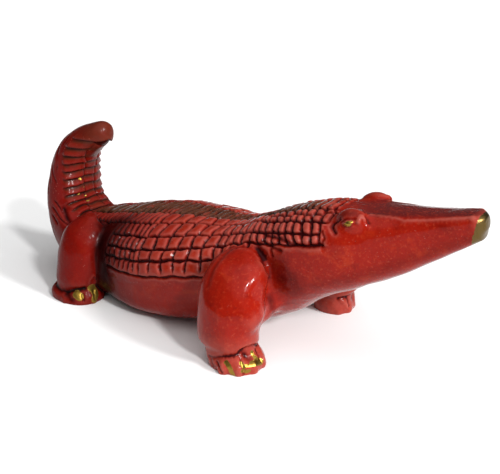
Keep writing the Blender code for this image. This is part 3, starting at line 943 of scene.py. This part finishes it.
def sculpt(piece):
    mesh = piece.data
    points, normals, links = readPoints(mesh), normalsOf(mesh), neighbours(mesh)
    t, angle, off = surveySkin(points)
    onBody = 1 - ramp(off, 0.5, 1.5)
    print("skin surveyed")
    grid = raiseScales(points, t, angle)
    depth, dark, gild = layStrokes(points)
    lift = grid["lift"] * onBody + unevenness(points, t, onBody)
    low, high, least = clay["sole"]
    keep = 1 - ramp(-points[:, 2], low, high)
    points = points + normals * ((lift - depth) * (least + (1 - least) * keep))[:, None]
    points[:, 2] = np.maximum(points[:, 2], 0)
    writePoints(mesh, points)
    filled = np.maximum(grid["groove"] * onBody, dark)
    poolAndShade, thinAndSheen = measurePools(points, normalsOf(mesh), links, filled)
    bare = 1 - np.clip(poolAndShade, 0, 1)
    thinAndSheen = np.maximum(thinAndSheen, 0.8 * grid["rim"] * onBody) * bare
    heights, share = pools["feet"]
    leg = (1 - onBody) * (1 - ramp(points[:, 2], *heights)) * (points[:, 0] > 0)
    thinAndSheen = np.maximum(thinAndSheen, share * leg * bare)
    # painted shade darkens the hips and the hollow ahead of the thighs
    where, reach, deep, leftShare = pools["hips"]
    hips = bell(points[:, 0] - where, reach) * ramp(np.abs(points[:, 1]), 5, 14)
    hips *= onBody * np.where(points[:, 1] > 0, leftShare, 1.0)
    poolAndShade = 1 - bare * (1 - deep * hips)
    thinAndSheen *= 1 - 0.5 * hips
    # painted shade in plum on the snout's top and on the tail's flanks
    roofShade = (1 - ramp(np.abs(angle - lineAngles(t)[0]), 24, 38)) * ramp(t, 14.1, 15.0)
    flank = ramp(grid["column"], 1, 2) * ramp(t, 2.2, 3.0) * (1 - ramp(t, 6.0, 7.0))
    # bronze on the middle band and the tail's tip, and bronze-coloured painted shade under its bars
    band = (grid["column"] == 0) * onBody * ramp(t, 4.5, 7.0) * (1 - ramp(t, 13.2, 14.0))
    low, high, share = pools["tip"]
    bronzeAndShade = np.maximum(band, share * (1 - ramp(t, low, high)))
    direction, edge, blend = pools["snoutGold"]
    saveField(mesh, "poolAndShade", poolAndShade)
    saveField(mesh, "thinAndSheen", thinAndSheen)
    saveField(mesh, "middle", ramp(grid["edge"], 0.9, 1.9) * grid["carved"] * onBody)
    saveField(mesh, "shadePlum", np.maximum(roofShade, pools["tailFlank"] * flank) * onBody)
    saveField(mesh, "bronzeAndShade", np.maximum(bronzeAndShade, pools["barShade"] * grid["shade"] * onBody))
    saveField(mesh, "gild", np.maximum(gild, 0.5 + (points @ np.array(direction) - edge) / blend))
    saveField(mesh, "luck", np.where(grid["carved"] & (onBody > 0.5), grid["luck"], 0.5))
    print("pools measured")


def slim(piece):
    count = sum(len(p.vertices) - 2 for p in piece.data.polygons)
    if count > skin["triangles"]:
        decimate = piece.modifiers.new("decimate", "DECIMATE")
        decimate.ratio = skin["triangles"] / count
        applyModifiers(piece)
    for polygon in piece.data.polygons:
        polygon.use_smooth = True
    print("skin slimmed:", len(piece.data.polygons), "faces")


# Glaze

glaze = {
    "bright": (0.23, 0.007, 0.0022),
    "orange": (0.33, 0.024, 0.005),
    "deep": (0.11, 0.002, 0.001),
    "dark": (0.024, 0.001, 0.0014),
    "black": (0.004, 0.0004, 0.0005),
    "thinAndSheen": (0.34, 0.070, 0.050),
    "shadePlum": (0.085, 0.010, 0.010),
    "bronzeAndShade": (0.050, 0.021, 0.010),
    "gold": (0.29, 0.18, 0.032),
    "shadedGold": (0.14, 0.09, 0.03),
    "snoutTip": 0.0935,  # m along the figure past which the gold is darkened as painted shade
    "rear": (0.015, -0.075),  # m along the figure where the painted shade towards the tail begins, and where it is full
    # noise scales, per metre
    "blotch": 75,
    "mottle": 330,
    "grain": 900,
    "speckle": 800,
    "speckPatches": 140,
    "bronzePatches": 150,
    "ripples": (150, 480),
    "streaks": (90, 420, 420),
    "roughness": 0.16,
    "baseIndex": 1.13,  # refractive index under the coat
    "coat": (0.5, 1.3, 0.07),  # weight, refractive index and roughness
    "bump": (0.65, 0.0005),  # strength, and height in m
}


class Wire:
    # a socket that takes part in sums with numbers and other wires
    def __init__(self, tree, socket=None):
        self.tree, self.socket = tree, socket

    def node(self, kind, settings=None, inputs=None, output=0):
        made = self.tree.nodes.new(kind)
        for name, value in (settings or {}).items():
            setattr(made, name, value)
        for name, value in (inputs or {}).items():
            self.plug(made.inputs[name], value)
        return Wire(self.tree, made.outputs[output])

    def plug(self, socket, value):
        if isinstance(value, Wire):
            self.tree.links.new(value.socket, socket)
        elif hasattr(value, "__len__") and len(value) == 3 and socket.type == "RGBA":
            socket.default_value = (*value, 1)
        else:
            socket.default_value = value

    def reckon(self, operation, a, b, clamp=False):
        settings = {"operation": operation, "use_clamp": clamp}
        return self.node("ShaderNodeMath", settings, {0: a, 1: b})

    def __add__(self, other):
        return self.reckon("ADD", self, other)

    def __sub__(self, other):
        return self.reckon("SUBTRACT", self, other)

    def __rsub__(self, other):
        return self.reckon("SUBTRACT", other, self)

    def __mul__(self, other):
        return self.reckon("MULTIPLY", self, other)

    __radd__ = __add__
    __rmul__ = __mul__

    def clamped(self):
        return self.reckon("ADD", self, 0.0, clamp=True)

    def step(self, low, high):
        # 0 below low, 1 above high
        return self.node(
            "ShaderNodeMapRange", {"interpolation_type": "SMOOTHSTEP"},
            {"Value": self, "From Min": low, "From Max": high},
        )

    def tint(self, amount, low, high):
        # one colour turning to another
        return self.node(
            "ShaderNodeMix", {"data_type": "RGBA"}, {0: amount, 6: low, 7: high}, 2
        )


def makeGlaze():
    material = bpy.data.materials.new("redGlaze")
    material.use_nodes = True
    tree = material.node_tree
    tree.nodes.clear()
    w = Wire(tree)
    place = w.node("ShaderNodeTexCoord", output=3)
    along = w.node("ShaderNodeSeparateXYZ", None, {"Vector": place})

    def field(name):
        return w.node("ShaderNodeAttribute", {"attribute_name": name}, output=2)

    def noise(scale, detail=3.0, rough=0.5, warp=0.0):
        return w.node("ShaderNodeTexNoise", None, {
            "Vector": place, "Scale": scale, "Detail": detail,
            "Roughness": rough, "Distortion": warp,
        })

    poolAndShade, thinAndSheen, luck = field("poolAndShade"), field("thinAndSheen"), field("luck")
    blotch = noise(glaze["blotch"], 4.0, 0.6, 0.8)
    mottle = noise(glaze["mottle"], 3.0, 0.6, 0.5)
    grain = noise(glaze["grain"], 3.0, 0.6)
    speck = w.node("ShaderNodeTexVoronoi", None, {"Vector": place, "Scale": glaze["speckle"]})
    speckle = (1 - speck.step(0.08, 0.20)) * noise(glaze["speckPatches"]).step(0.50, 0.60)
    gild = (field("gild") + (grain - 0.5) * 0.3 + (mottle - 0.5) * 0.25).step(0.46, 0.54)
    # 0 at the tail's end, 1 towards the head; the darkening towards the tail that it drives is
    # painted shade
    rear = along.step(glaze["rear"][1], glaze["rear"][0])
    stretched = w.node("ShaderNodeMapping", None, {"Vector": place, "Scale": glaze["streaks"]})
    streaks = w.node("ShaderNodeTexNoise", None, {
        "Vector": stretched, "Scale": 1.0, "Detail": 2.0,
    })
    heat = blotch + (luck - 0.5) * 0.18 + (mottle - 0.5) * 0.25 + (streaks - 0.5) * 0.3
    color = w.tint(heat.step(0.05, 0.50), glaze["deep"], glaze["bright"])
    color = w.tint(heat.step(0.54, 0.76) * 0.7, color, glaze["orange"])
    color = w.tint(field("middle") * 0.35, color, glaze["orange"])
    # painted shade in plum on the snout's top and the tail's flanks
    color = w.tint(field("shadePlum") * (0.55 + 0.5 * mottle), color, glaze["shadePlum"])
    color = w.tint(mottle.step(0.52, 0.78) * 0.35, color, glaze["deep"])
    color = w.tint(grain.step(0.50, 0.70) * 0.4, color, glaze["orange"])
    color = w.tint(grain.step(0.58, 0.76) * 0.2, color, glaze["thinAndSheen"])
    color = w.tint((thinAndSheen * (0.45 + 0.9 * mottle)).clamped() * 0.8, color, glaze["thinAndSheen"])
    # painted shade: the glaze deepens towards the tail
    color = w.tint((1 - rear) * 0.85, color, glaze["deep"])
    patches = noise(glaze["bronzePatches"], 3.0, 0.6).step(0.22, 0.50)
    # bronze tint, and a bronze-coloured painted shade under the tail's bars
    color = w.tint(field("bronzeAndShade") * patches * 0.9, color, glaze["bronzeAndShade"])
    color = w.tint(speckle * 0.6, color, glaze["thinAndSheen"])
    # glaze pooled in the hollows, and the painted shade, both blacker towards the tail as further
    # painted shade
    color = w.tint(poolAndShade.clamped(), color, w.tint(rear, glaze["black"], glaze["dark"]))
    # the snout's tip: gold darkened as painted shade
    old = along.step(glaze["snoutTip"], glaze["snoutTip"] + 0.0008)
    color = w.tint(gild, color, w.tint(old, glaze["gold"], glaze["shadedGold"]))
    broad, close = (noise(scale, 2.0, 0.5) for scale in glaze["ripples"])
    waves = broad * 1.6 + close * 0.6
    strength, height = glaze["bump"]
    bump = w.node("ShaderNodeBump", None, {
        "Strength": strength, "Distance": height,
        "Height": waves + grain * 0.12 - speckle * 0.35,
    })
    weight, index, rough = glaze["coat"]
    shader = w.node("ShaderNodeBsdfPrincipled", None, {
        "Base Color": color,
        "Metallic": gild,
        "Roughness": glaze["roughness"] + 0.14 * mottle + 0.10 * gild + (1 - rear) * 0.16,
        "IOR": glaze["baseIndex"],
        "Coat Weight": (1 - gild) * (1 - 0.7 * poolAndShade.clamped()) * (0.4 + 0.6 * rear) * weight,
        "Coat IOR": index,
        "Coat Roughness": rough,
        "Normal": bump,
    })
    end = tree.nodes.new("ShaderNodeOutputMaterial")
    tree.links.new(shader.socket, end.inputs["Surface"])
    return material


# Studio

studio = {
    "cameraPlace": (0.28905, -0.36355, 0.2263),
    "cameraAim": (0.00465, 0.00045, 0.035),
    "lens": 94.74,
    # where each light comes from, the degrees that it spans, its power
    "suns": {
        "key": ((0.88, 0.03, 0.47), 10, 2.7),
        "front": ((0.77, -0.33, 0.55), 6, 2.0),
    },
    "sky": (0.09, 1.2),  # away from the soft box and in it
    "boxFrom": (0.33, -0.14, 0.93),
    "boxEdge": (0.50, 0.85),  # cosines off its middle between which it fades
    "floor": (0.86, 0.86, 0.86),
    "floorRoughness": 0.9,
    "floorHalf": 4,  # m
}


def aim(thing, place, target):
    thing.location = place
    thing.rotation_euler = (Vector(target) - Vector(place)).to_track_quat("-Z", "Y").to_euler()


def setStudio():
    scene = bpy.context.scene
    camera = addObject("camera", bpy.data.cameras.new("camera"))
    camera.data.lens = studio["lens"]
    camera.data.sensor_width = 36
    camera.data.clip_start = 0.01
    aim(camera, studio["cameraPlace"], studio["cameraAim"])
    scene.camera = camera
    for name, (place, width, power) in studio["suns"].items():
        sun = addObject(name, bpy.data.lights.new(name, "SUN"))
        sun.data.angle = math.radians(width)
        sun.data.energy = power
        aim(sun, place, (0, 0, 0))
    world = bpy.data.worlds.new("sky")
    world.use_nodes = True
    w = Wire(world.node_tree)
    facing = w.node("ShaderNodeVectorMath", {"operation": "DOT_PRODUCT"}, {
        0: w.node("ShaderNodeTexCoord", output=0), 1: studio["boxFrom"]
    }, 1)
    low, high = studio["sky"]
    power = low + (high - low) * facing.step(*studio["boxEdge"])
    background = world.node_tree.nodes["Background"]
    w.plug(background.inputs["Strength"], power)
    w.plug(background.inputs["Color"], (1, 1, 1))
    scene.world = world
    scene.view_settings.view_transform = "Standard"
    bm = bmesh.new()
    bmesh.ops.create_grid(bm, x_segments=1, y_segments=1, size=studio["floorHalf"])
    floor = addObject("floor", meshFrom(bm, "floor"))
    paper = bpy.data.materials.new("paper")
    paper.use_nodes = True
    matte = paper.node_tree.nodes["Principled BSDF"]
    matte.inputs["Base Color"].default_value = (*studio["floor"], 1)
    matte.inputs["Roughness"].default_value = studio["floorRoughness"]
    floor.data.materials.append(paper)
    print("studio set")


crocodile = castSkin()
sculpt(crocodile)
slim(crocodile)
crocodile.data.materials.clear()
crocodile.data.materials.append(makeGlaze())
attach(crocodile, "root")
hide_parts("crocodile")
setStudio()
